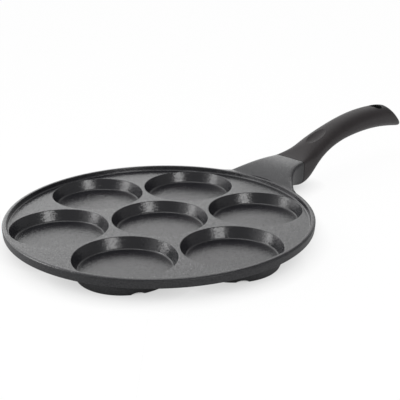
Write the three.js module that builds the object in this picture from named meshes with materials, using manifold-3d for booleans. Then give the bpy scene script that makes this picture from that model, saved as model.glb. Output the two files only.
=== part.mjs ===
// Seven-cup pancake pan: a cast aluminium pan with a moulded grip that is screwed to its neck.
// Millimetres, +Z up. The origin lies on the stove, under the middle cup. +X runs along the handle.
import * as THREE from "three";
import { mergeVertices } from "three/addons/utils/BufferGeometryUtils.js";
import Module from "manifold-3d";

const wasm = await Module();
wasm.setup();

// Cups: one in the middle, the others in a ring round it, with a gap on the handle's line
const cupsInRing = 6;
const cupMouthRadius = 41.7; // sharp corner between wall and plate, before rounding
const cupWeb = 3.1; // plate left between neighbouring mouths
const cupDepth = 9.7;
const cupWallRun = 3.9; // how far the wall slopes in from mouth to floor
const cupWall = 2.45; // thickness of the wall, measured level
const cupFloorThickness = 4.6;
const cupMouthEdge = 0.9; // rounding of the mouth
const cupFloorFillet = 1.6; // rounding between wall and floor
const cupBaseEdge = 1.0; // rounding round the base

// Plate and rim: the rim's inner wall stands where the mouths end
const plateThickness = 3.2;
const rimHeight = 4.3; // rim top above the plate
const rimTopWidth = 3.9; // flat land on top of the rim
const rimSlope = 1.6; // run of the rim's sloping inner wall
const rimDraft = 0.6; // how far the outer wall draws in towards its lower edge
const rimEdgeRadius = 0.8;
const rimCrownRadius = 2; // rounding of the rim's outer upper edge
const rimFootRadius = 1.2; // fillet between the inner wall and the plate

// Shallow notches in the base edges, a pair at every second gap between neighbouring cups
const notchGaps = 3;
const notchWidth = 11;
const notchDepth = 2.2;
const notchLength = 9; // reach in from the base edge
const notchTurn = 34; // degrees from the line between the middle cup and the notched cup

// Neck: cast with the pan, flaring from the seam into the rim. Heights are above the plate
const neckLength = 38.6; // from the rim to the seam
const neckRoot = 2.5; // how far inside the rim's outer wall the top starts to rise
const neckLead = 9; // how far the sides flare on past the root, until they have run into the rim
const neckHalfWidth = 18.8; // at the seam
const neckTop = 15.7; // top of the seam
const neckBottom = -11; // bottom of the seam
const neckWaist = 4; // level where the seam is widest
const neckTaper = 0.16; // narrowing of the sides at the seam
const neckRootHalfWidth = 40.2; // where the flare runs into the rim
const neckRootTaper = 1.15; // narrowing of the sides where they leave the rim
const neckTopSlope = 0.84; // rise of the top where it leaves the rim
const neckBottomSlope = -0.21; // fall of the underside at the seam
const neckTopSquare = 10; // how square the upper corners are, 2 being an ellipse
const neckBottomSquare = 3;

// Tongue: cast on the neck's end face and held in the grip's socket
const tongueLength = 30;
const tongueHalfWidth = 8;
const tongueHalfHeight = 4.5;
const tongueEdge = 1.5;
const tongueTilt = 18; // degrees above level
const tongueRootHeight = 6; // middle of the tongue at the seam, above the plate
const tongueRoot = 6; // how far the tongue runs back into the neck

// Grip, side view: distances from the seam and heights above the plate
const shoulderRun = 27.9; // where the top has risen clear of the seam
const shoulderTop = 25.5;
const shoulderSlope = 0.39;
const collarSlope = 0.16; // rise of the top at the seam
const crestRun = 122; // highest point of the top
const crestTop = 43.9;
const bellyRun = 114.4; // highest point of the underside
const bellyBottom = 22;
const heelReach = 28.7; // how long the underside stays level behind the seam
const bellyReach = 98; // how gently the underside levels out at the belly
const endTopRun = 154; // upper corner of the slanting end
const endTop = 42.4;
const endTopSlope = -0.1;
const tipRun = 183.9; // lower corner of the slanting end
const tipBottom = 13.5;
const tipSlope = -0.2;

// Grip, seen from above and in section
const waistRun = 74; // narrowest place, measured along the top
const waistHalfWidth = 13.75;
const palmRun = 140; // widest place of the grip
const palmHalfWidth = 14.6;
const collarTaper = 0.08; // narrowing of the sides at the seam
const gripSquare = 2.4; // squareness of the section, 2 being an ellipse
const cornerFade = 34; // length in which the seam's upper corners die out
const endRounding = 10.9; // length of the rounded end
const endSquare = 2.8; // squareness of the end, seen from above
const endCorner = 1.4; // rounding of the end's upper corner
const tipCorner = 5; // rounding of the end's lower corner

// Thumb rest: a shallow oval dish in the grip's top
const thumbRun = 42.5;
const thumbLength = 31;
const thumbWidth = 15.5;
const thumbDepth = 2.0;
const thumbHollow = 10; // depth of the whole ellipsoid that the dish is part of

// Hanging hole, through the grip from top to bottom
const hangStart = 134.4;
const hangEnd = 147.6;
const hangWidth = 16.8; // across the handle
const hangCorner = 4;
const hangEndCorner = 8; // corners towards the end of the grip

// Screw and washers, in a counterbore under the grip
const screwAlong = 12; // from the seam, along the tongue
const screwRadius = 2.5;
const screwReach = 6.3; // length of thread in the tongue
const screwHeadRadius = 4.2;
const screwHeadHeight = 2.6;
const screwHeadEdge = 1.4;
const recessLength = 4.4; // cross recess in the head
const recessWidth = 1.2;
const recessDepth = 1.5;
const springWasherRadius = 4.1;
const springWasherHeight = 1.3;
const springWasherSplit = 1.0;
const plainWasherRadius = 4.8;
const plainWasherHeight = 0.9;
const screwSeat = 2.2; // grip material between the tongue and the washers
const boreEnd = 1.2; // tapped hole beyond the screw's tip

// Clearances
const seamGap = 0.3; // grip to neck
const socketClearance = 0.3; // tongue in its socket
const screwClearance = 0.35; // screw in its holes
const headClearance = 0.5; // washers in their counterbore
const stackGap = 0.3; // between the screw's head, its washers and their seat

// Facets
const rimSegments = 84;
const cupSegments = 40;
const screwSegments = 24;
const arcSteps = 2; // flats in a rounded corner
const hangSteps = 4; // flats in a corner of the hanging hole
const sectionPoints = 36;
const neckStations = 10;
const leadStations = 2;
const gripStations = 26;
const endStations = 6;
const past = 1; // how far a cutter reaches past the face that it opens

// Derived sizes
const cupPitch = 2 * cupMouthRadius + cupWeb;
const rimFoot = cupPitch + cupMouthRadius;
const rimLand = rimFoot + rimSlope;
const rimRadius = rimLand + rimTopWidth;
const neckRootX = rimRadius - neckRoot;
const neckRun = neckRoot + neckLength;
const seamX = rimRadius + neckLength;
const gripStartX = seamX + seamGap;
const plateTopZ = cupFloorThickness + cupDepth;
const plateBottomZ = plateTopZ - plateThickness;
const rimTopZ = plateTopZ + rimHeight;
const cupSlope = cupWallRun / cupDepth;
const cupInside = (z) => cupMouthRadius - (plateTopZ - z) * cupSlope;
const cupOutside = (z) => cupInside(z) + cupWall;

// Profiles and sections

// Rounds the corners of a path of [x, y] or [x, y, corner radius] points.
function roundedPath(points, steps = arcSteps) {
  const at = (i) => new THREE.Vector2(points[i][0], points[i][1]);
  return points.flatMap(([, , radius = 0], i) => {
    const corner = at(i);
    if (radius === 0) {
      return [corner];
    }
    const before = at(i - 1).sub(corner).normalize();
    const after = at(i + 1).sub(corner).normalize();
    const half = Math.acos(before.dot(after)) / 2;
    const centre = before.clone().add(after).setLength(radius / Math.sin(half)).add(corner);
    const start = before.clone().multiplyScalar(radius / Math.tan(half)).add(corner);
    const turn = Math.sign(after.cross(before)) * (Math.PI - 2 * half);
    return Array.from({ length: steps + 1 }, (_, step) =>
      start.clone().rotateAround(centre, (turn * step) / steps),
    );
  });
}

function roundedRectangle(halfWidth, halfHeight, corner) {
  const outline = roundedPath([
    [0, -halfHeight],
    [halfWidth, -halfHeight, corner],
    [halfWidth, halfHeight, corner],
    [-halfWidth, halfHeight, corner],
    [-halfWidth, -halfHeight, corner],
    [0, -halfHeight],
  ]);
  return new THREE.Shape(outline.slice(1, -1));
}

// A value that leaves one end at one slope and reaches the other at another, for t from 0 to 1.
function smooth(from, to, slopeFrom, slopeTo, t) {
  const back = 1 - t;
  const leaving = from + slopeFrom / 3;
  const reaching = to - slopeTo / 3;
  return back ** 3 * from + 3 * back ** 2 * t * leaving + 3 * back * t ** 2 * reaching + t ** 3 * to;
}

// How far a rounded shape with the given squareness reaches, t of the way out along its other half axis.
function rounded(t, square) {
  return (1 - t ** square) ** (1 / square);
}

// A closed section, as [across, up] pairs, with its own squareness above and below its widest level.
function section({ halfWidth, top, waist, bottom, topSquare, bottomSquare }) {
  return Array.from({ length: sectionPoints }, (_, i) => {
    const angle = (2 * Math.PI * i) / sectionPoints;
    const across = Math.cos(angle);
    const up = Math.sin(angle);
    const power = 2 / (up >= 0 ? topSquare : bottomSquare);
    const reach = up >= 0 ? top - waist : waist - bottom;
    return [
      halfWidth * Math.sign(across) * Math.abs(across) ** power,
      waist + reach * Math.sign(up) * Math.abs(up) ** power,
    ];
  });
}

// Shapes

// Turns a profile of [radius, height, corner radius] points about Z, listed from the bottom to the top.
function turned(points, segments) {
  return new THREE.LatheGeometry(roundedPath(points), segments).rotateX(Math.PI / 2);
}

function drum(radius, bottom, top, segments) {
  const profile = [
    [0, bottom],
    [radius, bottom],
    [radius, top],
    [0, top],
  ];
  return turned(profile, segments);
}

function extruded(shape, depth) {
  return new THREE.ExtrudeGeometry(shape, { depth, bevelEnabled: false });
}

// A bar along X with rounded long edges.
function roundedBar(start, end, halfWidth, halfHeight, edge) {
  const bar = extruded(roundedRectangle(halfWidth, halfHeight, edge), end - start);
  const upright = new THREE.Matrix4().makeBasis(
    new THREE.Vector3(0, 1, 0),
    new THREE.Vector3(0, 0, 1),
    new THREE.Vector3(1, 0, 0),
  );
  return bar.applyMatrix4(upright).translate(start, 0, 0);
}

// Skins a row of rings that have equally many points, and closes both ends.
function loft(rings) {
  const count = rings[0].length;
  const last = (rings.length - 1) * count;
  const index = [];
  for (let start = 0; start < last; start += count) {
    for (let i = 0; i < count; i++) {
      const a = start + i;
      const b = start + ((i + 1) % count);
      index.push(a, b, b + count, a, b + count, a + count);
    }
  }
  for (let i = 1; i + 1 < count; i++) {
    index.push(0, i + 1, i, last, last + i, last + i + 1);
  }
  const geometry = new THREE.BufferGeometry().setFromPoints(rings.flat());
  return geometry.setIndex(index);
}

// Joining and cutting

function solid(geometry) {
  const plain = geometry.clone();
  plain.deleteAttribute("normal");
  plain.deleteAttribute("uv");
  const merged = mergeVertices(plain);
  const vertProperties = merged.attributes.position.array;
  const triVerts = new Uint32Array(merged.index.array);
  return new wasm.Manifold(new wasm.Mesh({ numProp: 3, vertProperties, triVerts }));
}

function joined(body, geometries) {
  return geometries.reduce((made, geometry) => made.add(solid(geometry)), body);
}

function cut(body, geometries) {
  return geometries.reduce((made, geometry) => made.subtract(solid(geometry)), body);
}

function mesh(name, body, material) {
  const { vertProperties, triVerts } = body.getMesh();
  const geometry = new THREE.BufferGeometry();
  geometry.setAttribute("position", new THREE.BufferAttribute(vertProperties, 3));
  geometry.setIndex(new THREE.BufferAttribute(triVerts, 1));
  const made = new THREE.Mesh(geometry, material);
  made.name = name;
  return made;
}

// Frames of the fixing

// At the seam, X along the tongue and Z square to it.
const tongueFrame = new THREE.Matrix4()
  .makeTranslation(seamX, 0, plateTopZ + tongueRootHeight)
  .multiply(new THREE.Matrix4().makeRotationY(-THREE.MathUtils.degToRad(tongueTilt)));

// On the tongue's lower face, Z pointing out through the grip's underside.
const screwFrame = tongueFrame
  .clone()
  .multiply(new THREE.Matrix4().makeTranslation(screwAlong, 0, -tongueHalfHeight))
  .multiply(new THREE.Matrix4().makeRotationX(Math.PI));

// Pan casting

function plateAndRim() {
  const profile = [
    [0, plateBottomZ],
    [rimRadius - rimDraft, plateBottomZ, rimEdgeRadius],
    [rimRadius, rimTopZ, rimCrownRadius],
    [rimLand, rimTopZ, rimEdgeRadius],
    [rimFoot, plateTopZ, rimFootRadius],
    [0, plateTopZ],
  ];
  return turned(profile, rimSegments);
}

function cupShell() {
  const insidePlateZ = plateTopZ - plateThickness / 2;
  const profile = [
    [0, 0],
    [cupOutside(0), 0, cupBaseEdge],
    [cupOutside(insidePlateZ), insidePlateZ],
    [0, insidePlateZ],
  ];
  return turned(profile, cupSegments);
}

// The hollow of a cup: floor, sloping wall, rounded mouth, and the space above the mouth.
function cupHollow() {
  const mouthSpread = cupMouthEdge * Math.tan((Math.PI / 2 - Math.atan(cupSlope)) / 2);
  const flare = cupMouthRadius + mouthSpread;
  const openZ = rimTopZ + past;
  const wall = roundedPath([
    [0, cupFloorThickness],
    [cupInside(cupFloorThickness), cupFloorThickness, cupFloorFillet],
    [cupMouthRadius, plateTopZ, cupMouthEdge],
    [flare, plateTopZ],
  ]).slice(0, -1);
  const profile = [...wall.map(({ x, y }) => [x, y]), [flare, openZ], [0, openZ]];
  return turned(profile, cupSegments);
}

function atEachCup(geometry) {
  const copies = [geometry];
  for (let i = 0; i < cupsInRing; i++) {
    const angle = (2 * Math.PI * (i + 0.5)) / cupsInRing;
    copies.push(geometry.clone().translate(cupPitch * Math.cos(angle), cupPitch * Math.sin(angle), 0));
  }
  return copies;
}

// Rollers lying across the base edges, sunk as deep as the notches.
function notches() {
  const radius = (notchWidth ** 2 / 4 + notchDepth ** 2) / (2 * notchDepth);
  const edge = cupOutside(0);
  const roller = drum(radius, edge - notchLength, edge + past, cupSegments);
  roller.rotateY(Math.PI / 2).translate(0, 0, notchDepth - radius);
  const halfGap = Math.PI / cupsInRing;
  const turn = halfGap - THREE.MathUtils.degToRad(notchTurn);
  const copies = [];
  for (let gap = 0; gap < notchGaps; gap++) {
    for (const side of [-1, 1]) {
      const copy = roller.clone().rotateZ(side * (turn - halfGap)).translate(cupPitch, 0, 0);
      copies.push(copy.rotateZ((2 * Math.PI * gap) / notchGaps + side * halfGap));
    }
  }
  return copies;
}

// A ring of the neck at a distance from its root. Before the root only the sides change.
function neckRing(run) {
  const t = run / neckRun;
  const rise = Math.max(t, 0);
  const outline = section({
    halfWidth: smooth(neckRootHalfWidth, neckHalfWidth, -neckRootTaper * neckRun, -neckTaper * neckRun, t),
    top: smooth(rimHeight, neckTop, neckTopSlope * neckRun, 0, rise),
    waist: smooth((rimHeight - plateThickness) / 2, neckWaist, 0, 0, rise),
    bottom: smooth(-plateThickness, neckBottom, 0, neckBottomSlope * neckRun, rise),
    topSquare: neckTopSquare,
    bottomSquare: neckBottomSquare,
  });
  return outline.map(([across, up]) => new THREE.Vector3(neckRootX + run, across, plateTopZ + up));
}

function neck() {
  const rings = [];
  for (let i = -leadStations; i <= neckStations; i++) {
    rings.push(neckRing(i < 0 ? (neckLead * i) / leadStations : (neckRun * i) / neckStations));
  }
  const insideOfRim = drum(rimRadius - rimTopWidth / 2, -plateTopZ, plateTopZ + 2 * neckTop, rimSegments);
  return cut(solid(loft(rings)), [insideOfRim]);
}

function tongue() {
  const bar = roundedBar(-tongueRoot, tongueLength, tongueHalfWidth, tongueHalfHeight, tongueEdge);
  return bar.applyMatrix4(tongueFrame);
}

function tappedHole() {
  const hole = drum(screwRadius + screwClearance, -screwReach - boreEnd, past, screwSegments);
  return hole.applyMatrix4(screwFrame);
}

function panCasting() {
  const body = joined(neck(), [plateAndRim(), tongue(), ...atEachCup(cupShell())]);
  return cut(body, [...atEachCup(cupHollow()), ...notches(), tappedHole()]);
}

// Handle grip

// A curve in the side view that leaves and reaches its ends at given slopes. Ends are [run, height].
function sideCurve([runA, heightA], slopeA, reachA, [runB, heightB], slopeB, reachB) {
  const points = [
    [runA, heightA],
    [runA + reachA, heightA + reachA * slopeA],
    [runB - reachB, heightB - reachB * slopeB],
    [runB, heightB],
  ];
  return new THREE.CubicBezierCurve3(
    ...points.map(([run, height]) => new THREE.Vector3(gripStartX + run, 0, plateTopZ + height)),
  );
}

function gripTopLine() {
  const seam = [0, neckTop];
  const shoulder = [shoulderRun, shoulderTop];
  const crest = [crestRun, crestTop];
  const end = [endTopRun, endTop];
  const third = (from, to) => (to[0] - from[0]) / 3;
  const collar = third(seam, shoulder);
  const rise = third(shoulder, crest);
  const fall = third(crest, end);
  const line = new THREE.CurvePath();
  line.add(sideCurve(seam, collarSlope, collar, shoulder, shoulderSlope, collar));
  line.add(sideCurve(shoulder, shoulderSlope, rise, crest, 0, rise));
  line.add(sideCurve(crest, 0, fall, end, endTopSlope, fall));
  return line;
}

function gripLowerLine() {
  const belly = [bellyRun, bellyBottom];
  const tip = [tipRun, tipBottom];
  const fall = (tipRun - bellyRun) / 3;
  const line = new THREE.CurvePath();
  line.add(sideCurve([0, neckBottom], 0, heelReach, belly, 0, bellyReach));
  line.add(sideCurve(belly, 0, fall, tip, tipSlope, fall));
  return line;
}

const topLine = gripTopLine();
const lowerLine = gripLowerLine();
const gripLength = topLine.getLength();

function gripHalfWidth(run) {
  if (run < waistRun) {
    return smooth(neckHalfWidth, waistHalfWidth, -collarTaper * waistRun, 0, run / waistRun);
  }
  const t = Math.min((run - waistRun) / (palmRun - waistRun), 1);
  return smooth(waistHalfWidth, palmHalfWidth, 0, 0, t);
}

// A ring of the grip, at a distance along its top line, leaning as the line from its underside to its top.
function gripRing(run) {
  const top = topLine.getPointAt(run / gripLength);
  const lower = lowerLine.getPointAt(run / gripLength);
  const middle = top.clone().add(lower).divideScalar(2);
  const upward = top.clone().sub(lower).normalize();
  const intoEnd = Math.max(0, 1 - (gripLength - run) / endRounding);
  const shrink = rounded(intoEnd, endSquare);
  const halfHeight = top.distanceTo(lower) / 2;
  const corner = Math.max(0, 1 - run / cornerFade) ** 3;
  const t = Math.min(run / waistRun, 1);
  const outline = section({
    halfWidth: gripHalfWidth(run) * shrink,
    top: halfHeight - endCorner * (1 - shrink),
    waist: smooth(neckWaist - (neckTop + neckBottom) / 2, 0, 0, 0, t),
    bottom: -halfHeight + tipCorner * (1 - shrink),
    topSquare: gripSquare + (neckTopSquare - gripSquare) * corner,
    bottomSquare: smooth(neckBottomSquare, gripSquare, 0, 0, t),
  });
  return outline.map(([across, up]) => middle.clone().addScaledVector(upward, up).setY(across));
}

function gripBody() {
  const rings = [];
  const endStart = gripLength - endRounding;
  for (let i = 0; i < gripStations; i++) {
    rings.push(gripRing((endStart * i) / gripStations));
  }
  for (let i = 0; i < endStations; i++) {
    rings.push(gripRing(endStart + endRounding * Math.sin((Math.PI / 2) * (i / endStations))));
  }
  return loft(rings);
}

function socket() {
  const bar = roundedBar(
    -tongueRoot,
    tongueLength + socketClearance,
    tongueHalfWidth + socketClearance,
    tongueHalfHeight + socketClearance,
    tongueEdge + socketClearance,
  );
  return bar.applyMatrix4(tongueFrame);
}

// An ellipsoid that dips into the top line and lies along it.
function thumbRest() {
  const middle = topLine.getPointAt(thumbRun / gripLength);
  const along = topLine.getTangentAt(thumbRun / gripLength);
  const share = rounded(1 - thumbDepth / thumbHollow, 2);
  const dish = new THREE.SphereGeometry(1, sectionPoints, sectionPoints / 2);
  dish.scale(thumbLength / 2 / share, thumbWidth / 2 / share, thumbHollow);
  dish.translate(0, 0, thumbHollow - thumbDepth);
  dish.rotateY(-Math.atan2(along.z, along.x));
  return dish.translate(middle.x, middle.y, middle.z);
}

function hangingHole() {
  const half = hangWidth / 2;
  const corners = [
    [hangStart, 0],
    [hangStart, -half, hangCorner],
    [hangEnd, -half, hangEndCorner],
    [hangEnd, half, hangEndCorner],
    [hangStart, half, hangCorner],
    [hangStart, 0],
  ];
  const outline = roundedPath(corners, hangSteps).slice(1, -1);
  return extruded(new THREE.Shape(outline), 2 * crestTop).translate(gripStartX, 0, plateTopZ);
}

const plainWasherStart = socketClearance + screwSeat + stackGap;
const springWasherStart = plainWasherStart + plainWasherHeight + stackGap;
const screwHeadStart = springWasherStart + springWasherHeight + stackGap;
const screwHeadEnd = screwHeadStart + screwHeadHeight;

function screwHoles() {
  const seat = socketClearance + screwSeat;
  const through = drum(screwRadius + screwClearance, -past, seat + past, screwSegments);
  const counterbore = drum(plainWasherRadius + headClearance, seat, 3 * screwHeadEnd, screwSegments);
  return [through, counterbore].map((hole) => hole.applyMatrix4(screwFrame));
}

function handleGrip() {
  return cut(solid(gripBody()), [socket(), thumbRest(), hangingHole(), ...screwHoles()]);
}

// Screw and washers, made along Z from the tongue's lower face

function washer(radius, start, height) {
  const hole = drum(screwRadius + screwClearance, start - past, start + height + past, screwSegments);
  return cut(solid(drum(radius, start, start + height, screwSegments)), [hole]);
}

function springWasher() {
  const split = new THREE.BoxGeometry(springWasherRadius * 2, springWasherSplit, springWasherHeight * 4);
  split.translate(springWasherRadius, 0, springWasherStart);
  return cut(washer(springWasherRadius, springWasherStart, springWasherHeight), [split]);
}

function handleScrew() {
  const profile = [
    [0, -screwReach],
    [screwRadius, -screwReach],
    [screwRadius, screwHeadStart],
    [screwHeadRadius, screwHeadStart],
    [screwHeadRadius, screwHeadEnd, screwHeadEdge],
    [0, screwHeadEnd],
  ];
  const slots = [0, Math.PI / 2].map((turn) =>
    new THREE.BoxGeometry(recessLength, recessWidth, 2 * recessDepth).rotateZ(turn).translate(0, 0, screwHeadEnd),
  );
  return cut(solid(turned(profile, screwSegments)), slots);
}

// Materials and assembly

const coatedAluminium = new THREE.MeshStandardMaterial({ color: 0x3a3a3c, roughness: 0.45, metalness: 0.2 });
const softTouchGrip = new THREE.MeshStandardMaterial({ color: 0x2c2b2c, roughness: 0.7, metalness: 0 });
const zincPlatedSteel = new THREE.MeshStandardMaterial({ color: 0xb9bcbe, roughness: 0.35, metalness: 1 });

const fixing = new THREE.Group();
screwFrame.decompose(fixing.position, fixing.quaternion, fixing.scale);
fixing.add(mesh("handle_screw", handleScrew(), zincPlatedSteel));
fixing.add(mesh("spring_washer", springWasher(), zincPlatedSteel));
fixing.add(mesh("plain_washer", washer(plainWasherRadius, plainWasherStart, plainWasherHeight), zincPlatedSteel));

const pan = new THREE.Group();
pan.add(mesh("pan_casting", panCasting(), coatedAluminium));
pan.add(mesh("handle_grip", handleGrip(), softTouchGrip));
pan.add(fixing);

export default pan;
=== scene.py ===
"""Seven-cup pancake pan: the looks of a cast, coated pan with a moulded soft-touch grip."""
import math

import bmesh
import bpy
from mathutils import Matrix, Vector
from mathutils.geometry import interpolate_bezier


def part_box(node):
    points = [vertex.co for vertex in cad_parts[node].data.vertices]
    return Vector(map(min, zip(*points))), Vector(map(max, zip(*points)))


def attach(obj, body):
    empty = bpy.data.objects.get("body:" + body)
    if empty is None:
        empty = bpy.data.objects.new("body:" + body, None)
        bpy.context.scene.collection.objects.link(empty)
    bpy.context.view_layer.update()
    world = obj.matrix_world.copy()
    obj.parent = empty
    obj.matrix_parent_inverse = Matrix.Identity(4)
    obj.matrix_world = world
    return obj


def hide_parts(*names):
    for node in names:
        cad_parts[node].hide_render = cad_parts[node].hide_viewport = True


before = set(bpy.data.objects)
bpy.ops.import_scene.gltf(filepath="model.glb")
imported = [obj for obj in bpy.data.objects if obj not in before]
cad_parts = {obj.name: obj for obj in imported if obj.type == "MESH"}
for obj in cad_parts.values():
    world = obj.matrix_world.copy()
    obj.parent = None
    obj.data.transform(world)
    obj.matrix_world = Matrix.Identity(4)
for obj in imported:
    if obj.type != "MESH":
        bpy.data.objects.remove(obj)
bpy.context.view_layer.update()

# Sizes in millimetres. Pieces are modelled in millimetres and brought to metres at the end
MM = 0.001

# Cups
CUPS_IN_RING = 6
CUP_MOUTH_RADIUS = 41.7
CUP_WEB = 3.1  # least width of plate between two cups
CUP_DEPTH = 9.7
CUP_WALL_RUN = 3.9  # how far a cup's wall leans in over its depth
CUP_WALL = 2.45  # thickness, measured level
CUP_FLOOR_THICKNESS = 4.6
CUP_MOUTH_EDGE = 0.9
CUP_FLOOR_FILLET = 1.6
CUP_BASE_EDGE = 1.0

# Plate and rim
PLATE_THICKNESS = 3.2
RIM_HEIGHT = 4.3
RIM_TOP_WIDTH = 3.89  # a hair less than the solid has, so that the pan stays inside it
RIM_SLOPE = 1.6  # from the cups' outermost reach to the rim's top
RIM_WALL_LEAN = 0.7  # the rim's inner wall is steeper than in the solid
RIM_DRAFT = 0.6  # how far the outer wall leans in downwards
RIM_EDGE_RADIUS = 0.8
RIM_CROWN_RADIUS = 2
RIM_FOOT_RADIUS = 1.2

# Notches in the base edges
NOTCH_GAPS = 3  # a pair of notches stands at every second gap between the cups
NOTCH_WIDTH = 11
NOTCH_DEPTH = 2.2
NOTCH_LENGTH = 9
NOTCH_TURN = 34  # degrees from a cup's outward line towards the gap

# Neck, heights above the plate. A square of 2 gives an oval section, a higher one squarer corners
NECK_ROOT = 2.5  # how far inside the rim's outer edge the neck starts to rise
NECK_LEAD = 9  # how far it goes on inwards from there, into the rim
NECK_HALF_WIDTH = 18.8
NECK_TOP = 15.7
NECK_BOTTOM = -11
NECK_WAIST = 4  # height of its widest place at the seam
NECK_TAPER = 0.16  # narrowing of the half width at the seam, as a slope
NECK_ROOT_HALF_WIDTH = 40.2
NECK_ROOT_TAPER = 1.15  # the same at the root
NECK_TOP_SLOPE = 0.84
NECK_BOTTOM_SLOPE = -0.21
NECK_TOP_SQUARE = 10
NECK_BOTTOM_SQUARE = 3
SEAM_GAP = 0.3
SEAM_EDGE = 0.6  # rounding of the edges at the seam

# Grip, runs from the seam and heights above the plate
SHOULDER_RUN = 27.9
SHOULDER_TOP = 25.5
SHOULDER_SLOPE = 0.39
COLLAR_SLOPE = 0.16
CREST_RUN = 122
CREST_TOP = 43.89  # a hair less than the solid has
BELLY_RUN = 114.4
BELLY_BOTTOM = 22
HEEL_REACH = 28.7  # how far the lower line's handle reaches on from the seam
BELLY_REACH = 98  # how far its other handle reaches back from the belly
END_TOP_RUN = 154
END_TOP = 42.4
END_TOP_SLOPE = -0.1
TIP_RUN = 185.05
TIP_BOTTOM = 13.5
TIP_SLOPE = -0.2
WAIST_RUN = 74
WAIST_HALF_WIDTH = 13.75
PALM_RUN = 140
PALM_HALF_WIDTH = 14.6
COLLAR_TAPER = 0.08
GRIP_SQUARE = 2.4
CORNER_FADE = 34  # run over which the seam's square corners fade into the oval
END_ROUNDING = 10.9  # run of the rounded end
END_SQUARE = 2.8
END_CORNER = 1.4  # drop of the top line over that rounding
TIP_CORNER = 8.5  # rise of the underside over it, more than in the solid

# Thumb rest and hanging hole
THUMB_RUN = 42.5
THUMB_LENGTH = 31
THUMB_WIDTH = 15.5
THUMB_DEPTH = 2.0
THUMB_HOLLOW = 10  # half height of the ellipsoid that cuts the rest
HANG_START = 134.4
HANG_END = 147.6
HANG_WIDTH = 16.8
HANG_CORNER = 4
HANG_END_CORNER = 8
HANG_LIP = 0.5  # rounding of the hole's rims
HANG_LIP_START = 10  # degrees of that rounding left off at the surface, so that it cuts cleanly

# Tongue on the neck, held in the grip by a screw with two washers
TONGUE_LENGTH = 30
TONGUE_HALF_WIDTH = 8
TONGUE_HALF_HEIGHT = 4.5
TONGUE_EDGE = 1.5
TONGUE_TILT = 18  # degrees
TONGUE_ROOT_HEIGHT = 6  # above the plate, at the seam
TONGUE_ROOT = 6  # how far the tongue reaches back into the neck
SOCKET_CLEARANCE = 0.3
SCREW_ALONG = 12  # from the seam, along the tongue
SCREW_RADIUS = 2.5
SCREW_REACH = 6.3  # into the tongue
SCREW_POINT = 0.625  # chamfer of the screw's end
SCREW_SEAT = 2.2  # thickness of grip between the socket and the washers
SCREW_CLEARANCE = 0.35
HEAD_RADIUS = 4.2
HEAD_HEIGHT = 2.6
HEAD_EDGE = 1.4
RECESS_LENGTH = 4.4
RECESS_WIDTH = 1.2
RECESS_DEPTH = 1.5
RECESS_TAPER = 0.3  # share by which the recess narrows downwards and widens upwards
SPRING_RADIUS = 4.1
SPRING_HEIGHT = 1.3
SPRING_SPLIT = 1
WASHER_RADIUS = 4.8
WASHER_HEIGHT = 0.9
WASHER_EDGE = 0.2
STACK_GAP = 0.3
HEAD_CLEARANCE = 0.5
BORE_END = 1.2  # how far the tapped hole goes on past the screw

# How finely the pieces are modelled
RIM_STEPS = 240
CUP_STEPS = 160
SCREW_STEPS = 64
CORNER_STEPS = 6
SECTION_POINTS = 96
NECK_STATIONS = 40
GRIP_STATIONS = 110
END_STATIONS = 16
END_TURN = 72  # degrees of the rounded end that are drawn, before its small flat
CURVE_STEPS = 200
CASTING_EDGE_ANGLE = 30  # degrees past which an edge stays crisp
GRIP_EDGE_ANGLE = 25
FIXING_EDGE_ANGLE = 35
PAST = 1  # how far a cutter reaches past what it cuts
LIP = 0.03  # how far above the plate a cup's cutter ends its rounded edge, to cut cleanly
SLACK = 0.03  # how far outside a place a face may lie and still count as in it
WELD = 0.001  # points nearer than this become one after a cut

# Places worked out from the sizes and from the frame
CUP_PITCH = 2 * CUP_MOUTH_RADIUS + CUP_WEB
RIM_FOOT = CUP_PITCH + CUP_MOUTH_RADIUS
RIM_LAND = RIM_FOOT + RIM_SLOPE
RIM_RADIUS = RIM_LAND + RIM_TOP_WIDTH
PLATE_TOP = CUP_FLOOR_THICKNESS + CUP_DEPTH
PLATE_BOTTOM = PLATE_TOP - PLATE_THICKNESS
RIM_TOP = PLATE_TOP + RIM_HEIGHT
CUP_SLOPE = CUP_WALL_RUN / CUP_DEPTH
GRIP_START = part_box("handle_grip")[0].x / MM
SEAM = GRIP_START - SEAM_GAP


def cup_inside(height):
    return CUP_MOUTH_RADIUS - (PLATE_TOP - height) * CUP_SLOPE


def cup_outside(height):
    return cup_inside(height) + CUP_WALL


# Modelling helpers

def rounded_profile(points):
    """Rounds the corners of a row of (x, y) or (x, y, corner radius) points."""
    made = []
    for i, point in enumerate(points):
        corner = Vector(point[:2])
        if len(point) == 2:
            made.append(corner)
            continue
        before = (Vector(points[i - 1][:2]) - corner).normalized()
        after = (Vector(points[i + 1][:2]) - corner).normalized()
        half = before.angle(after) / 2
        centre = corner + (before + after).normalized() * point[2] / math.sin(half)
        start = corner + before * point[2] / math.tan(half) - centre
        turn = math.copysign(math.pi - 2 * half, after.cross(before))
        for step in range(CORNER_STEPS + 1):
            made.append(centre + Matrix.Rotation(turn * step / CORNER_STEPS, 2) @ start)
    return made


def turned(name, profile, steps):
    """Raises a disc ring by ring through a profile of (radius, height) points, as on a lathe."""
    radius, height = profile[0]
    bpy.ops.object.select_all(action="DESELECT")
    place = (0, 0, height)
    bpy.ops.mesh.primitive_circle_add(vertices=steps, radius=radius, fill_type="NGON", location=place)
    piece = bpy.context.object
    piece.name = name
    bpy.ops.object.transform_apply()
    bpy.ops.object.mode_set(mode="EDIT")
    for next_radius, next_height in profile[1:]:
        bpy.ops.mesh.extrude_region_move(TRANSFORM_OT_translate={"value": (0, 0, next_height - height)})
        scale = next_radius / radius
        bpy.ops.transform.resize(value=(scale, scale, 1), center_override=(0, 0, 0))
        radius, height = next_radius, next_height
    face_outwards()
    return piece


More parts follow.
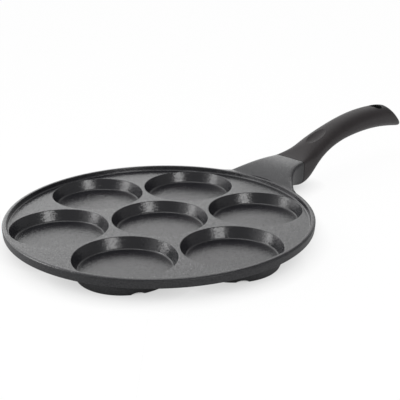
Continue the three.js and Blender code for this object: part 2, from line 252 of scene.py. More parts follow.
def skinned(name, rings):
    """Draws a disc out through a row of rings that have equally many points."""
    bpy.ops.object.select_all(action="DESELECT")
    bpy.ops.mesh.primitive_circle_add(vertices=len(rings[0]), fill_type="NGON")
    piece = bpy.context.object
    piece.name = name
    bpy.ops.object.mode_set(mode="EDIT")
    set_ring(piece, rings[0], None)
    for ring, last in zip(rings[1:], rings):
        bpy.ops.mesh.extrude_region_move()
        set_ring(piece, ring, last[0])
    face_outwards()
    return piece


def set_ring(piece, ring, first):
    """Puts the selected face's corners on a ring. The corner at first becomes the ring's first point."""
    mesh = bmesh.from_edit_mesh(piece.data)
    corners = next(face for face in mesh.faces if face.select).verts[:]
    start = 0
    if first is not None:
        start = min(range(len(corners)), key=lambda i: (corners[i].co - first).length)
    for i, point in enumerate(ring):
        corners[(start + i) % len(corners)].co = point
    bmesh.update_edit_mesh(piece.data)


def face_outwards():
    bpy.ops.mesh.select_all(action="SELECT")
    bpy.ops.mesh.normals_make_consistent(inside=False)
    bpy.ops.object.mode_set(mode="OBJECT")


def copied(piece, matrix):
    twin = piece.copy()
    twin.data = piece.data.copy()
    twin.data.transform(matrix)
    bpy.context.scene.collection.objects.link(twin)
    return twin


def apply_modifier(piece, kind, **settings):
    modifier = piece.modifiers.new(kind.title(), kind)
    for name, value in settings.items():
        setattr(modifier, name, value)
    bpy.context.view_layer.objects.active = piece
    bpy.ops.object.modifier_apply(modifier=modifier.name)


def select_only(piece):
    bpy.ops.object.select_all(action="DESELECT")
    piece.select_set(True)
    bpy.context.view_layer.objects.active = piece


def combine(piece, tools, operation):
    """Joins the tools to a piece, or cuts them out of it, removes them, and welds what the cuts left."""
    for tool in tools:
        apply_modifier(piece, "BOOLEAN", object=tool, operation=operation, solver="EXACT")
        bpy.data.objects.remove(tool)
    select_only(piece)
    bpy.ops.object.mode_set(mode="EDIT")
    bpy.ops.mesh.select_all(action="SELECT")
    bpy.ops.mesh.remove_doubles(threshold=WELD)
    bpy.ops.mesh.dissolve_degenerate(threshold=WELD)
    bpy.ops.object.mode_set(mode="OBJECT")


def complete(piece, node, material, edge_angle):
    """Brings a piece to metres, smooths it up to an edge angle, and sets it in its CAD node's place."""
    piece.data.transform(Matrix.Scale(MM, 4))
    select_only(piece)
    bpy.ops.object.shade_smooth_by_angle(angle=math.radians(edge_angle))
    apply_modifier(piece, "WEIGHTED_NORMAL", keep_sharp=True, weight=100)
    piece.data.materials.clear()
    piece.data.materials.append(material)
    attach(piece, "root")
    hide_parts(node)


# Curves of the neck and the grip

def smooth(start, end, start_slope, end_slope, t):
    """A value that leaves one end at one slope and reaches the other at another, for t from 0 to 1."""
    back = 1 - t
    leaving = start + start_slope / 3
    reaching = end - end_slope / 3
    return back ** 3 * start + 3 * back ** 2 * t * leaving + 3 * back * t ** 2 * reaching + t ** 3 * end


def rounded(t, square):
    return (1 - t ** square) ** (1 / square)


def section(half_width, top, waist, bottom, top_square, bottom_square):
    """A closed outline of (across, up) pairs, with its own squareness above and below its widest level."""
    outline = []
    for i in range(SECTION_POINTS):
        angle = 2 * math.pi * i / SECTION_POINTS
        across, up = math.cos(angle), math.sin(angle)
        power = 2 / (top_square if up >= 0 else bottom_square)
        reach = top - waist if up >= 0 else waist - bottom
        wide = half_width * math.copysign(abs(across) ** power, across)
        outline.append((wide, waist + reach * math.copysign(abs(up) ** power, up)))
    return outline


def side_curve(start, start_slope, start_reach, end, end_slope, end_reach):
    """Points of a curve in the side view that leaves and reaches its ends at given slopes."""
    leaving = (start[0] + start_reach, start[1] + start_reach * start_slope)
    reaching = (end[0] - end_reach, end[1] - end_reach * end_slope)
    knots = [Vector((GRIP_START + run, 0, PLATE_TOP + up)) for run, up in (start, leaving, reaching, end)]
    return interpolate_bezier(*knots, CURVE_STEPS)


class Line:
    """A row of points that can be asked for the place at a share of its length."""

    def __init__(self, *curves):
        self.points = [curves[0][0]]
        for curve in curves:
            self.points += curve[1:]
        self.lengths = [0]
        for a, b in zip(self.points, self.points[1:]):
            self.lengths.append(self.lengths[-1] + (b - a).length)

    def at(self, share):
        goal = share * self.lengths[-1]
        i = 1
        while i < len(self.lengths) - 1 and self.lengths[i] < goal:
            i += 1
        before = self.lengths[i - 1]
        return self.points[i - 1].lerp(self.points[i], (goal - before) / (self.lengths[i] - before))


def grip_top_line():
    """The top line in three even curves, whose handles are a third of their run."""
    seam = (0, NECK_TOP)
    shoulder = (SHOULDER_RUN, SHOULDER_TOP)
    crest = (CREST_RUN, CREST_TOP)
    end = (END_TOP_RUN, END_TOP)
    collar = SHOULDER_RUN / 3
    rise = (CREST_RUN - SHOULDER_RUN) / 3
    fall = (END_TOP_RUN - CREST_RUN) / 3
    return Line(
        side_curve(seam, COLLAR_SLOPE, collar, shoulder, SHOULDER_SLOPE, collar),
        side_curve(shoulder, SHOULDER_SLOPE, rise, crest, 0, rise),
        side_curve(crest, 0, fall, end, END_TOP_SLOPE, fall),
    )


def grip_lower_line():
    """The lower line: a long sweep up from the seam to the belly, then the fall to the tip."""
    belly = (BELLY_RUN, BELLY_BOTTOM)
    fall = (TIP_RUN - BELLY_RUN) / 3
    return Line(
        side_curve((0, NECK_BOTTOM), 0, HEEL_REACH, belly, 0, BELLY_REACH),
        side_curve(belly, 0, fall, (TIP_RUN, TIP_BOTTOM), TIP_SLOPE, fall),
    )


# Pan casting

def plate_and_rim():
    wall_foot = RIM_LAND - RIM_WALL_LEAN
    profile = rounded_profile([
        (RIM_RADIUS - RIM_DRAFT - RIM_EDGE_RADIUS * 2, PLATE_BOTTOM),
        (RIM_RADIUS - RIM_DRAFT, PLATE_BOTTOM, RIM_EDGE_RADIUS),
        (RIM_RADIUS, RIM_TOP, RIM_CROWN_RADIUS),
        (RIM_LAND, RIM_TOP, RIM_EDGE_RADIUS),
        (wall_foot, PLATE_TOP, RIM_FOOT_RADIUS),
        (wall_foot - RIM_FOOT_RADIUS * 2, PLATE_TOP),
    ])
    return turned("pan", profile, RIM_STEPS)


def cup_shell():
    inside_plate = PLATE_TOP - PLATE_THICKNESS / 2
    base = cup_outside(0)
    profile = rounded_profile([
        (base - 2 * CUP_BASE_EDGE, 0),
        (base, 0, CUP_BASE_EDGE),
        (cup_outside(inside_plate), inside_plate),
    ])
    return turned("cup_shell", profile, CUP_STEPS)


def cup_hollow():
    spread = CUP_MOUTH_EDGE * math.tan((math.pi / 2 - math.atan(CUP_SLOPE)) / 2)
    flare = CUP_MOUTH_RADIUS + spread
    floor = cup_inside(CUP_FLOOR_THICKNESS)
    wall = rounded_profile([
        (floor - 2 * CUP_FLOOR_FILLET, CUP_FLOOR_THICKNESS),
        (floor, CUP_FLOOR_THICKNESS, CUP_FLOOR_FILLET),
        (CUP_MOUTH_RADIUS, PLATE_TOP + LIP, CUP_MOUTH_EDGE),
        (flare, PLATE_TOP + LIP),
    ])
    return turned("cup_hollow", wall[:-1] + [Vector((flare, RIM_TOP + PAST))], CUP_STEPS)


def at_each_cup(piece):
    copies = [piece]
    for i in range(CUPS_IN_RING):
        angle = 2 * math.pi * (i + 0.5) / CUPS_IN_RING
        place = Vector((CUP_PITCH * math.cos(angle), CUP_PITCH * math.sin(angle), 0))
        copies.append(copied(piece, Matrix.Translation(place)))
    return copies


def notches():
    radius = (NOTCH_WIDTH ** 2 / 4 + NOTCH_DEPTH ** 2) / (2 * NOTCH_DEPTH)
    edge = cup_outside(0)
    roller = turned("notch", [(radius, edge - NOTCH_LENGTH), (radius, edge + PAST)], CUP_STEPS)
    lying = Matrix.Translation((0, 0, NOTCH_DEPTH - radius)) @ Matrix.Rotation(math.pi / 2, 4, "Y")
    half_gap = math.pi / CUPS_IN_RING
    turn = math.radians(NOTCH_TURN)
    copies = []
    for gap in range(NOTCH_GAPS):
        for side in (-1, 1):
            to_cup = Matrix.Rotation(2 * math.pi * gap / NOTCH_GAPS + side * half_gap, 4, "Z")
            on_cup = Matrix.Translation((CUP_PITCH, 0, 0))
            on_cup @= Matrix.Rotation(-side * turn, 4, "Z")
            copies.append(copied(roller, to_cup @ on_cup @ lying))
    bpy.data.objects.remove(roller)
    return copies


def seam_edge():
    """Steps round a seam edge, as pairs of distance from the seam's face and inset."""
    angles = [math.pi / 2 * i / CORNER_STEPS for i in range(CORNER_STEPS + 1)]
    return [(SEAM_EDGE * (1 - math.cos(angle)), SEAM_EDGE * (1 - math.sin(angle))) for angle in angles]


NECK_RUN = SEAM - RIM_RADIUS + NECK_ROOT


def neck_ring(back, inset):
    """A ring of the neck at a distance back from the seam. Past the root only the sides change."""
    t = 1 - back / NECK_RUN
    rise = max(t, 0)
    narrowing = -NECK_ROOT_TAPER * NECK_RUN, -NECK_TAPER * NECK_RUN
    outline = section(
        half_width=smooth(NECK_ROOT_HALF_WIDTH, NECK_HALF_WIDTH, *narrowing, t) - inset,
        top=smooth(RIM_HEIGHT, NECK_TOP, NECK_TOP_SLOPE * NECK_RUN, 0, rise) - inset,
        waist=smooth((RIM_HEIGHT - PLATE_THICKNESS) / 2, NECK_WAIST, 0, 0, rise),
        bottom=smooth(-PLATE_THICKNESS, NECK_BOTTOM, 0, NECK_BOTTOM_SLOPE * NECK_RUN, rise) + inset,
        top_square=NECK_TOP_SQUARE,
        bottom_square=NECK_BOTTOM_SQUARE,
    )
    return [Vector((SEAM - back, across, PLATE_TOP + up)) for across, up in outline]


def neck():
    run = NECK_RUN + NECK_LEAD - SEAM_EDGE
    rings = [neck_ring(*step) for step in seam_edge()]
    rings += [neck_ring(SEAM_EDGE + run * i / NECK_STATIONS, 0) for i in range(1, NECK_STATIONS + 1)]
    piece = skinned("neck", rings)
    middle_of_rim = RIM_RADIUS - RIM_TOP_WIDTH / 2
    ends = (-PLATE_TOP, PLATE_TOP + 2 * NECK_TOP)
    inside_of_rim = turned("inside_of_rim", [(middle_of_rim, end) for end in ends], RIM_STEPS)
    combine(piece, [inside_of_rim], "DIFFERENCE")
    return piece


TONGUE_FRAME = Matrix.Translation((SEAM, 0, PLATE_TOP + TONGUE_ROOT_HEIGHT))
TONGUE_FRAME @= Matrix.Rotation(-math.radians(TONGUE_TILT), 4, "Y")
SCREW_FRAME = TONGUE_FRAME @ Matrix.Translation((SCREW_ALONG, 0, -TONGUE_HALF_HEIGHT))
SCREW_FRAME @= Matrix.Rotation(math.pi, 4, "X")


def tongue_bar(clearance):
    """The tongue, or the space for it in the grip, as a bar with rounded long edges."""
    half_width, half_height = TONGUE_HALF_WIDTH + clearance, TONGUE_HALF_HEIGHT + clearance
    edge = TONGUE_EDGE + clearance
    outline = rounded_profile([
        (0, -half_height),
        (half_width, -half_height, edge),
        (half_width, half_height, edge),
        (-half_width, half_height, edge),
        (-half_width, -half_height, edge),
        (0, -half_height),
    ])[1:-1]
    ends = (-TONGUE_ROOT, TONGUE_LENGTH + clearance)
    bar = skinned("tongue", [[Vector((end, y, z)) for y, z in outline] for end in ends])
    bar.data.transform(TONGUE_FRAME)
    return bar


def screw_drum(radius, start, end):
    """A round cutter along the screw, measured from the tongue's lower face."""
    drum = turned("drum", [(radius, start), (radius, end)], SCREW_STEPS)
    drum.data.transform(SCREW_FRAME)
    return drum


def pan_casting():
    piece = plate_and_rim()
    combine(piece, [neck(), tongue_bar(0), *at_each_cup(cup_shell())], "UNION")
    tapped_hole = screw_drum(SCREW_RADIUS + SCREW_CLEARANCE, -SCREW_REACH - BORE_END, PAST)
    combine(piece, [*at_each_cup(cup_hollow()), *notches(), tapped_hole], "DIFFERENCE")
    return piece


# Handle grip

TOP_LINE = grip_top_line()
LOWER_LINE = grip_lower_line()
GRIP_LENGTH = TOP_LINE.lengths[-1]


def grip_half_width(run):
    if run < WAIST_RUN:
        return smooth(NECK_HALF_WIDTH, WAIST_HALF_WIDTH, -COLLAR_TAPER * WAIST_RUN, 0, run / WAIST_RUN)
    t = min((run - WAIST_RUN) / (PALM_RUN - WAIST_RUN), 1)
    return smooth(WAIST_HALF_WIDTH, PALM_HALF_WIDTH, 0, 0, t)


def grip_ring(run, inset=0):
    """A ring of the grip, leaning as the line from its underside to its top."""
    top = TOP_LINE.at(run / GRIP_LENGTH)
    lower = LOWER_LINE.at(run / GRIP_LENGTH)
    middle = (top + lower) / 2
    upward = (top - lower).normalized()
    into_end = max(0, 1 - (GRIP_LENGTH - run) / END_ROUNDING)
    shrink = rounded(into_end, END_SQUARE)
    half_height = (top - lower).length / 2
    corner = max(0, 1 - run / CORNER_FADE) ** 3  # cubed, so that it fades out softly
    t = min(run / WAIST_RUN, 1)
    outline = section(
        half_width=grip_half_width(run) * shrink - inset,
        top=half_height - END_CORNER * (1 - shrink) - inset,
        waist=smooth(NECK_WAIST - (NECK_TOP + NECK_BOTTOM) / 2, 0, 0, 0, t),
        bottom=-half_height + TIP_CORNER * (1 - shrink) + inset,
        top_square=GRIP_SQUARE + (NECK_TOP_SQUARE - GRIP_SQUARE) * corner,
        bottom_square=smooth(NECK_BOTTOM_SQUARE, GRIP_SQUARE, 0, 0, t),
    )
    return [middle + upward * up + Vector((0, across, 0)) for across, up in outline]


def grip_body():
    end_start = GRIP_LENGTH - END_ROUNDING
    rings = [grip_ring(*step) for step in seam_edge()]
    for i in range(1, GRIP_STATIONS):
        rings.append(grip_ring(SEAM_EDGE + (end_start - SEAM_EDGE) * i / GRIP_STATIONS))
    for i in range(END_STATIONS + 1):
        turn = math.radians(END_TURN * i / END_STATIONS)
        rings.append(grip_ring(end_start + END_ROUNDING * math.sin(turn)))
    return skinned("grip", rings)


def thumb_rest():
    """An ellipsoid that dips into the top line and lies along it."""
    middle = TOP_LINE.at(THUMB_RUN / GRIP_LENGTH)
    ahead = TOP_LINE.at((THUMB_RUN + 1) / GRIP_LENGTH) - middle
    share = rounded(1 - THUMB_DEPTH / THUMB_HOLLOW, 2)
    bpy.ops.object.select_all(action="DESELECT")
    bpy.ops.mesh.primitive_uv_sphere_add(segments=SECTION_POINTS, ring_count=SECTION_POINTS // 2, radius=1)
    dish = bpy.context.object
    size = Matrix.Diagonal((THUMB_LENGTH / 2 / share, THUMB_WIDTH / 2 / share, THUMB_HOLLOW, 1))
    lean = Matrix.Rotation(-math.atan2(ahead.z, ahead.x), 4, "Y")
    raised = Matrix.Translation((0, 0, THUMB_HOLLOW - THUMB_DEPTH))
    dish.data.transform(Matrix.Translation(middle) @ lean @ raised @ size)
    return dish


def hole_ring(grip, side, grow, depth):
    """A ring of the hanging hole, grown outwards, on the grip's top (side 1) or underside (side -1).

    It lies at a depth under the surface or, where no depth is given, level and well outside the grip.
    """
    start, end, half = HANG_START - grow, HANG_END + grow, HANG_WIDTH / 2 + grow
    outline = rounded_profile([
        (start, 0),
        (start, -half, HANG_CORNER + grow),
        (end, -half, HANG_END_CORNER + grow),
        (end, half, HANG_END_CORNER + grow),
        (start, half, HANG_CORNER + grow),
        (start, 0),
    ])[1:-1]
    ring = []
    for x, y in outline:
        outside = Vector((GRIP_START + x, y, PLATE_TOP + CREST_TOP / 2 + side * 2 * CREST_TOP))
        if depth is None:
            ring.append(outside)
        else:
            surface = grip.ray_cast(outside, Vector((0, 0, -side)))[1]
            ring.append(surface - Vector((0, 0, side * depth)))
    return ring


def hanging_hole(grip):
    """A cutter through the grip that flares at both ends, so that the hole's rims are rounded."""
    flare = []
    for i in range(CORNER_STEPS + 1):
        angle = math.radians(HANG_LIP_START + (90 - HANG_LIP_START) * i / CORNER_STEPS)
        flare.append((HANG_LIP * (1 - math.sin(angle)), HANG_LIP * (1 - math.cos(angle))))
    flare.insert(0, (flare[0][0], None))
    rings = [hole_ring(grip, -1, grow, depth) for grow, depth in flare]
    rings += [hole_ring(grip, 1, grow, depth) for grow, depth in reversed(flare)]
    return skinned("hanging_hole", rings)


# Where the washers and the screw's head start, from the tongue's lower face
SEAT = SOCKET_CLEARANCE + SCREW_SEAT
WASHER_START = SEAT + STACK_GAP
SPRING_START = WASHER_START + WASHER_HEIGHT + STACK_GAP
HEAD_START = SPRING_START + SPRING_HEIGHT + STACK_GAP
HEAD_END = HEAD_START + HEAD_HEIGHT


def handle_grip():
    piece = grip_body()
    screw_hole = screw_drum(SCREW_RADIUS + SCREW_CLEARANCE, -PAST, SEAT + PAST)
    below_grip = 3 * HEAD_END
    counterbore = screw_drum(WASHER_RADIUS + HEAD_CLEARANCE, SEAT, below_grip)
    tools = [hanging_hole(piece), thumb_rest(), tongue_bar(SOCKET_CLEARANCE), screw_hole, counterbore]
    combine(piece, tools, "DIFFERENCE")
    return piece


# Screw and washers

def handle_screw():
    """A pan-head screw with a cross recess and a chamfered point."""
    profile = rounded_profile([
        (SCREW_RADIUS - SCREW_POINT, -SCREW_REACH),
        (SCREW_RADIUS, -SCREW_REACH + SCREW_POINT),
        (SCREW_RADIUS, HEAD_START),
        (HEAD_RADIUS - WASHER_EDGE, HEAD_START),
        (HEAD_RADIUS, HEAD_START + WASHER_EDGE),
        (HEAD_RADIUS, HEAD_END, HEAD_EDGE),
        (HEAD_RADIUS / 2, HEAD_END),
    ])
    piece = turned("screw", profile, SCREW_STEPS)
    recess = []
    for turn in (0, math.pi / 2):
        rings = []
        for side in (-1, 1):
            share = 1 + side * RECESS_TAPER
            height = HEAD_END + side * RECESS_DEPTH
            wide, slim = share * RECESS_LENGTH / 2, share * RECESS_WIDTH / 2
            corners = ((-wide, -slim), (wide, -slim), (wide, slim), (-wide, slim))
            rings.append([Matrix.Rotation(turn, 3, "Z") @ Vector((x, y, height)) for x, y in corners])
        recess.append(skinned("recess", rings))
    combine(piece, recess, "DIFFERENCE")
    piece.data.transform(SCREW_FRAME)
    return piece


def plain_washer():
    end = WASHER_START + WASHER_HEIGHT
    profile = rounded_profile([
        (WASHER_RADIUS / 2, WASHER_START),
        (WASHER_RADIUS, WASHER_START, WASHER_EDGE),
        (WASHER_RADIUS, end, WASHER_EDGE),
        (WASHER_RADIUS / 2, end),
    ])
    piece = turned("flat_washer", profile, SCREW_STEPS)
    piece.data.transform(SCREW_FRAME)
    hole = screw_drum(SCREW_RADIUS + SCREW_CLEARANCE, WASHER_START - PAST, end + PAST)
    combine(piece, [hole], "DIFFERENCE")
    return piece


def spring_washer():
    """A split ring of square wire."""
    inner = SCREW_RADIUS + SCREW_CLEARANCE
    outline = rounded_profile([
        (inner, SPRING_START),
        (SPRING_RADIUS, SPRING_START, WASHER_EDGE),
        (SPRING_RADIUS, SPRING_START + SPRING_HEIGHT, WASHER_EDGE),
        (inner, SPRING_START + SPRING_HEIGHT, WASHER_EDGE),
        (inner, SPRING_START, WASHER_EDGE),
        (SPRING_RADIUS, SPRING_START),
    ])[1:-1]
    half_split = SPRING_SPLIT / (inner + SPRING_RADIUS)
    rings = []
    for i in range(SCREW_STEPS + 1):
        turn = half_split + (2 * math.pi - 2 * half_split) * i / SCREW_STEPS
        rings.append([Matrix.Rotation(turn, 3, "Z") @ Vector((out, 0, up)) for out, up in outline])
    piece = skinned("split_washer", rings)
    piece.data.transform(SCREW_FRAME)
    return piece


# Materials. Pattern sizes are in millimetres, and pairs are for the dark and the light end of a cloud

COATING_TONES = "#141417", "#1d1d21"
COATING_ROUGHNESS = 0.2, 0.24
COATING_IOR = 1.55
COATING_CLOUD = 4.0
MICA_SPACING = 0.6  # drawn coarser than real flakes, so that they show
MICA_TILT = 0.09  # how far every flake may lean
MICA_STRAY = 0.25  # how much further the rare ones may
MICA_RARITY = 5  # a power: the higher, the fewer of them
PEEL_SIZE = 1.4
PEEL_HEIGHT = 0.001
LACQUER_TONES = "#0c0c0d", "#424244"
LACQUER_ROUGHNESS = 0.42, 0.5
LACQUER_IOR = 1.38
LACQUER_SPECULAR = 0.25
LACQUER_CLOUD = 1.2
LACQUER_GRAIN = 0.7  # drawn coarser than the real grain of the spray, so that it shows
LACQUER_GRAIN_HEIGHT = 0.02
LACQUER_STEEPNESS = 0.75  # faces of the outer edge that turn upwards more than this keep the coating
GRIP_TONES = "#232021", "#2d292a"
GRIP_ROUGHNESS = 0.44, 0.56
GRIP_CLOUD = 6.0
GRIP_GRAIN = 0.5  # drawn about twice as coarse as the real grain, so that it shows
GRIP_GRAIN_HEIGHT = 0.03
# painted shade for the hanging hole's inner wall: drawn near black, far darker than the grip, as the shade
# in the deep hole falls
HOLE_SHADE_TONES = "#060606", "#0c0b0b"
PHENOLIC_ROUGHNESS = 0.4, 0.55
PHENOLIC_IOR = 1.5
PHENOLIC_SPECULAR = 0.22
PHENOLIC_FLOW = 3.0
PHENOLIC_STEEPNESS = 0.3  # faces of the hanging hole that turn up or down more than this keep the lacquer
ZINC_TONES = "#b4bac0", "#c9c7bf"
ZINC_ROUGHNESS = 0.22, 0.36
ZINC_CLOUD = 1.5
ZINC_GRAIN = 0.12
ZINC_GRAIN_HEIGHT = 0.004
CLOUD_DETAIL = 4


def colour(text):
    """An sRGB hex colour as linear red, green, blue and alpha."""
    channels = [int(text[i:i + 2], 16) / 255 for i in (1, 3, 5)]
    return [c / 12.92 if c <= 0.04045 else ((c + 0.055) / 1.055) ** 2.4 for c in channels] + [1]


def add(tree, kind, settings=None, values=None, links=None):
    """Adds a node with its settings, its fixed inputs and its linked inputs."""
    node = tree.nodes.new(kind)
    for name, value in (settings or {}).items():
        setattr(node, name, value)
    for name, value in (values or {}).items():
        node.inputs[name].default_value = value
    for name, source in (links or {}).items():
        tree.links.new(source, node.inputs[name])
    return node


def new_material(name):
    material = bpy.data.materials.new(name)
    material.use_nodes = True
    material.node_tree.nodes.clear()
    return material, material.node_tree


def finish_material(tree, shader):
    add(tree, "ShaderNodeOutputMaterial", links={"Surface": shader.outputs[0]})


def non_stick_coating():
    """Sprayed non-stick coating on cast aluminium: near black and satin, with glints of mica."""
    material, tree = new_material("non_stick_coating")
    place = add(tree, "ShaderNodeTexCoord").outputs["Object"]
    mica = add(tree, "ShaderNodeTexVoronoi", values={"Scale": 1 / (MICA_SPACING * MM)},
               links={"Vector": place})
    chance = add(tree, "ShaderNodeTexWhiteNoise", links={"Vector": mica.outputs["Position"]})
    rare = add(tree, "ShaderNodeMath", {"operation": "POWER"}, {1: MICA_RARITY},
               {0: chance.outputs["Value"]})
    reach = add(tree, "ShaderNodeMath", {"operation": "MULTIPLY_ADD"}, {1: MICA_STRAY, 2: MICA_TILT},
                {0: rare.outputs[0]})
    way = add(tree, "ShaderNodeVectorMath", {"operation": "SUBTRACT"}, {1: (0.5, 0.5, 0.5)},
              {0: mica.outputs["Color"]})
    lean = add(tree, "ShaderNodeVectorMath", {"operation": "SCALE"},
               links={0: way.outputs[0], "Scale": reach.outputs[0]})
    peel = add(tree, "ShaderNodeTexNoise", values={"Scale": 1 / (PEEL_SIZE * MM)}, links={"Vector": place})
    surface = add(tree, "ShaderNodeBump", values={"Distance": PEEL_HEIGHT * MM},
                  links={"Height": peel.outputs["Fac"]})
    tilted = add(tree, "ShaderNodeVectorMath", links={0: surface.outputs[0], 1: lean.outputs[0]})
    normal = add(tree, "ShaderNodeVectorMath", {"operation": "NORMALIZE"}, links={0: tilted.outputs[0]})
    cloud = add(tree, "ShaderNodeTexNoise", values={"Scale": 1 / (COATING_CLOUD * MM)},
                links={"Vector": place})
    dark, light = COATING_TONES
    tone = add(tree, "ShaderNodeMix", {"data_type": "RGBA"}, {"A": colour(dark), "B": colour(light)},
               {"Factor": cloud.outputs["Fac"]})
    low, high = COATING_ROUGHNESS
    sheen = add(tree, "ShaderNodeMapRange", values={"To Min": low, "To Max": high},
                links={"Value": cloud.outputs["Fac"]})
    shader = add(tree, "ShaderNodeBsdfPrincipled", values={"IOR": COATING_IOR}, links={
        "Base Color": tone.outputs["Result"],
        "Roughness": sheen.outputs[0],
        "Normal": normal.outputs[0],
    })
    finish_material(tree, shader)
    return material


def clouded_finish(name, tones, roughness, cloud, values, grain=None):
    """A finish whose tone and roughness drift in soft clouds.

    A grain, where there is one, is a texture node's kind and output, with the grain's size and height.
    """
    material, tree = new_material(name)
    place = add(tree, "ShaderNodeTexCoord").outputs["Object"]
    drift = add(tree, "ShaderNodeTexNoise", values={"Scale": 1 / (cloud * MM), "Detail": CLOUD_DETAIL},
                links={"Vector": place})
    dark, light = tones
    tone = add(tree, "ShaderNodeMix", {"data_type": "RGBA"}, {"A": colour(dark), "B": colour(light)},
               {"Factor": drift.outputs["Fac"]})
    low, high = roughness
    rough = add(tree, "ShaderNodeMapRange", values={"To Min": low, "To Max": high},
                links={"Value": drift.outputs["Fac"]})
    links = {"Base Color": tone.outputs["Result"], "Roughness": rough.outputs[0]}
    if grain:
        kind, output, size, height = grain
        texture = add(tree, kind, values={"Scale": 1 / (size * MM)}, links={"Vector": place})
        bump = add(tree, "ShaderNodeBump", values={"Distance": height * MM},
                   links={"Height": texture.outputs[output]})
        links["Normal"] = bump.outputs[0]
    finish_material(tree, add(tree, "ShaderNodeBsdfPrincipled", values=values, links=links))
    return material


def heat_proof_lacquer():
    """Sprayed silicone lacquer on the casting's outside: near black and matte, with a faint spray grain."""
    return clouded_finish(
        "heat_proof_lacquer",
        tones=LACQUER_TONES,
        roughness=LACQUER_ROUGHNESS,
        cloud=LACQUER_CLOUD,
        values={"IOR": LACQUER_IOR, "Specular IOR Level": LACQUER_SPECULAR},
        grain=("ShaderNodeTexNoise", "Fac", LACQUER_GRAIN, LACQUER_GRAIN_HEIGHT),
    )


def soft_touch_phenolic():
    """Moulded grip with a soft-touch lacquer: matte black, with a fine grain that scatters light."""
    return clouded_finish(
        "soft_touch_phenolic",
        tones=GRIP_TONES,
        roughness=GRIP_ROUGHNESS,
        cloud=GRIP_CLOUD,
        values={"IOR": PHENOLIC_IOR, "Specular IOR Level": PHENOLIC_SPECULAR},
        grain=("ShaderNodeTexNoise", "Fac", GRIP_GRAIN, GRIP_GRAIN_HEIGHT),
    )


def hole_painted_shade():
    """Painted shade on the hanging hole's inner wall: near black phenolic, with faint flow marks of the
    mould.
    """
    return clouded_finish(
        "hole_painted_shade",
        tones=HOLE_SHADE_TONES,
        roughness=PHENOLIC_ROUGHNESS,
        cloud=PHENOLIC_FLOW,
        values={"IOR": PHENOLIC_IOR, "Specular IOR Level": PHENOLIC_SPECULAR},
    )


def zinc_plate():
    """Bright zinc plating on steel: pale blue-grey with faint warm clouds and a fine crystal grain."""
    return clouded_finish(
        "zinc_plate",
        tones=ZINC_TONES,
        roughness=ZINC_ROUGHNESS,
        cloud=ZINC_CLOUD,
        values={"Metallic": 1},
        grain=("ShaderNodeTexVoronoi", "Distance", ZINC_GRAIN, ZINC_GRAIN_HEIGHT),
    )


def dress_faces(piece, material, chosen):
    """Gives the chosen faces of a piece another finish."""
    piece.data.materials.append(material)
    for face in piece.data.polygons:
        if chosen(face.center / MM, face.normal):
            face.material_index = len(piece.data.materials) - 1


def lacquered(place, facing):
    """Whether a face is on the casting's underside, its outer wall or the sides of its neck."""
    at_edge = place.xy.length > RIM_RADIUS - RIM_CROWN_RADIUS
    return facing.z < (LACQUER_STEEPNESS if at_edge else 0)


def in_hanging_hole(place, facing):
    """Whether a face is on the inner wall of the hanging hole, which gets painted shade."""
    along = place.x - GRIP_START
    inside = HANG_START - SLACK < along < HANG_END + SLACK and abs(place.y) < HANG_WIDTH / 2 + SLACK
    return inside and abs(facing.z) < PHENOLIC_STEEPNESS


# Stage: camera, floor and light

# The camera looks past the middle of the plate, from aside and above, in millimetres and degrees
CAMERA_AZIMUTH = -44.254
CAMERA_ELEVATION = 20.35
CAMERA_DISTANCE = 750.5
CAMERA_ROLL = -0.159
CAMERA_ASIDE = 34.7
CAMERA_ABOVE = 15.1
CAMERA_LENS = 78.15
SENSOR = 36


def direction(azimuth, height):
    """The way to something at an azimuth and at a height over the horizon, both in degrees."""
    turn, rise = math.radians(azimuth), math.radians(height)
    return Vector((math.sin(turn) * math.cos(rise), -math.cos(turn) * math.cos(rise), math.sin(rise)))


def camera_axes():
    azimuth = math.radians(CAMERA_AZIMUTH)
    back = direction(CAMERA_AZIMUTH, CAMERA_ELEVATION)
    right = Vector((math.cos(azimuth), math.sin(azimuth), 0))
    up = back.cross(right)
    roll = Matrix.Rotation(math.radians(CAMERA_ROLL), 3, back)
    return roll @ right, roll @ up, back


def add_camera():
    right, up, back = camera_axes()
    place = Vector((0, 0, PLATE_TOP)) + CAMERA_DISTANCE * back
    place += CAMERA_ASIDE * right + CAMERA_ABOVE * up
    data = bpy.data.cameras.new("camera")
    data.lens = CAMERA_LENS
    data.sensor_width = SENSOR
    camera = bpy.data.objects.new("camera", data)
    turn = Matrix((right, up, back)).transposed().to_4x4()
    camera.matrix_world = Matrix.Translation(place * MM) @ turn
    bpy.context.scene.collection.objects.link(camera)
    bpy.context.scene.camera = camera


FLOOR_SIZE = 40  # in metres, so that its edge stays out of sight
FLOOR_COLOUR = "#f4f4f4"
FLOOR_GLOW = 0.95  # share of white glow in the floor as it is seen, the rest being lit paint
FLOOR_SHADE = 0.02  # how far from the pan its contact shadow reaches, in metres
FLOOR_SOFTENING = 0.25  # how strongly that shadow shows to the camera, as a power


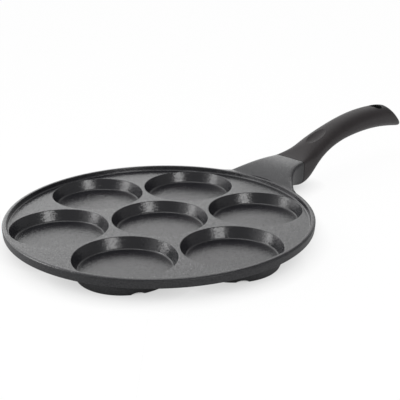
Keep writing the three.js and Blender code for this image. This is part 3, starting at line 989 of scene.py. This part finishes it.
def add_floor():
    bpy.ops.object.select_all(action="DESELECT")
    bpy.ops.mesh.primitive_plane_add(size=FLOOR_SIZE)
    floor = bpy.context.object
    floor.name = "floor"
    material, tree = new_material("white_floor")
    paint = add(tree, "ShaderNodeBsdfDiffuse", values={"Color": colour(FLOOR_COLOUR)})
    open_sky = add(tree, "ShaderNodeAmbientOcclusion", values={"Distance": FLOOR_SHADE}).outputs["AO"]
    ray = add(tree, "ShaderNodeLightPath").outputs
    softening = add(tree, "ShaderNodeMapRange", values={"To Min": 1, "To Max": FLOOR_SOFTENING},
                    links={"Value": ray["Is Camera Ray"]})
    contact = add(tree, "ShaderNodeMath", {"operation": "POWER"},
                  links={0: open_sky, 1: softening.outputs[0]})
    glow = add(tree, "ShaderNodeEmission", values={"Color": (1, 1, 1, 1)},
               links={"Strength": contact.outputs[0]})
    shown = add(tree, "ShaderNodeMath", {"operation": "MAXIMUM"},
                links={0: ray["Is Camera Ray"], 1: ray["Is Glossy Ray"]})
    shown = add(tree, "ShaderNodeMath", {"operation": "MAXIMUM"},
                links={0: shown.outputs[0], 1: ray["Is Transmission Ray"]})
    share = add(tree, "ShaderNodeMath", {"operation": "MULTIPLY"}, {1: FLOOR_GLOW}, {0: shown.outputs[0]})
    surface = add(tree, "ShaderNodeMixShader",
                  links={0: share.outputs[0], 1: paint.outputs[0], 2: glow.outputs[0]})
    finish_material(tree, surface)
    floor.data.materials.append(material)


# Room light: dim on the camera's side and on the right, bright behind the pan on the left
ROOM_DIM = 0.42
ROOM_BRIGHT = 2.15
ROOM_BRIGHT_SIDE = 50  # degrees from the far side towards the left

# Softboxes: degrees to the camera's right, degrees over the horizon (past 90 means beyond the zenith),
# and distance, width and tallness in metres
SOFTBOXES = {
    "key_softbox": dict(aside=31.4, height=24, distance=1.3, width=0.5, tallness=0.5, brightness=6.9),
    "side_softbox": dict(aside=-88, height=24, distance=0.44, width=0.15, tallness=0.3, brightness=4.6),
    "top_softbox": dict(aside=0, height=103, distance=1.0, width=0.6, tallness=0.5, brightness=2.2),
}


def add_room():
    world = bpy.data.worlds.new("studio")
    world.use_nodes = True
    tree = world.node_tree
    tree.nodes.clear()
    turn = math.radians(CAMERA_AZIMUTH + 90 + ROOM_BRIGHT_SIDE)
    towards = add(tree, "ShaderNodeTexCoord").outputs["Generated"]
    side = add(tree, "ShaderNodeVectorMath", {"operation": "DOT_PRODUCT"},
               {1: (math.cos(turn), math.sin(turn), 0)}, {0: towards})
    level = add(tree, "ShaderNodeMapRange", values={"To Min": ROOM_DIM, "To Max": ROOM_BRIGHT},
                links={"Value": side.outputs["Value"]})
    light = add(tree, "ShaderNodeBackground", values={"Color": (1, 1, 1, 1)},
                links={"Strength": level.outputs[0]})
    add(tree, "ShaderNodeOutputWorld", links={"Surface": light.outputs[0]})
    bpy.context.scene.world = world


def add_softbox(name, aside, height, distance, width, tallness, brightness):
    """A softbox that faces the pan. Its power gives it the same brightness at any size."""
    out = direction(CAMERA_AZIMUTH + aside, height)
    data = bpy.data.lights.new(name, "AREA")
    data.shape = "RECTANGLE"
    data.size = width
    data.size_y = tallness
    data.energy = brightness * math.pi * width * tallness
    lamp = bpy.data.objects.new(name, data)
    lamp.location = out * distance + Vector((0, 0, PLATE_TOP * MM))
    lamp.rotation_euler = out.to_track_quat("Z", "Y").to_euler()
    bpy.context.scene.collection.objects.link(lamp)


add_camera()
add_floor()
add_room()
for box_name, box in SOFTBOXES.items():
    add_softbox(box_name, **box)

coating = non_stick_coating()
phenolic = soft_touch_phenolic()
zinc = zinc_plate()

casting = pan_casting()
complete(casting, "pan_casting", coating, CASTING_EDGE_ANGLE)
dress_faces(casting, heat_proof_lacquer(), lacquered)
grip = handle_grip()
complete(grip, "handle_grip", phenolic, GRIP_EDGE_ANGLE)
# the hanging hole's inner wall gets painted shade
dress_faces(grip, hole_painted_shade(), in_hanging_hole)
complete(handle_screw(), "handle_screw", zinc, FIXING_EDGE_ANGLE)
complete(spring_washer(), "spring_washer", zinc, FIXING_EDGE_ANGLE)
complete(plain_washer(), "plain_washer", zinc, FIXING_EDGE_ANGLE)

bpy.context.scene.view_settings.view_transform = "Standard"
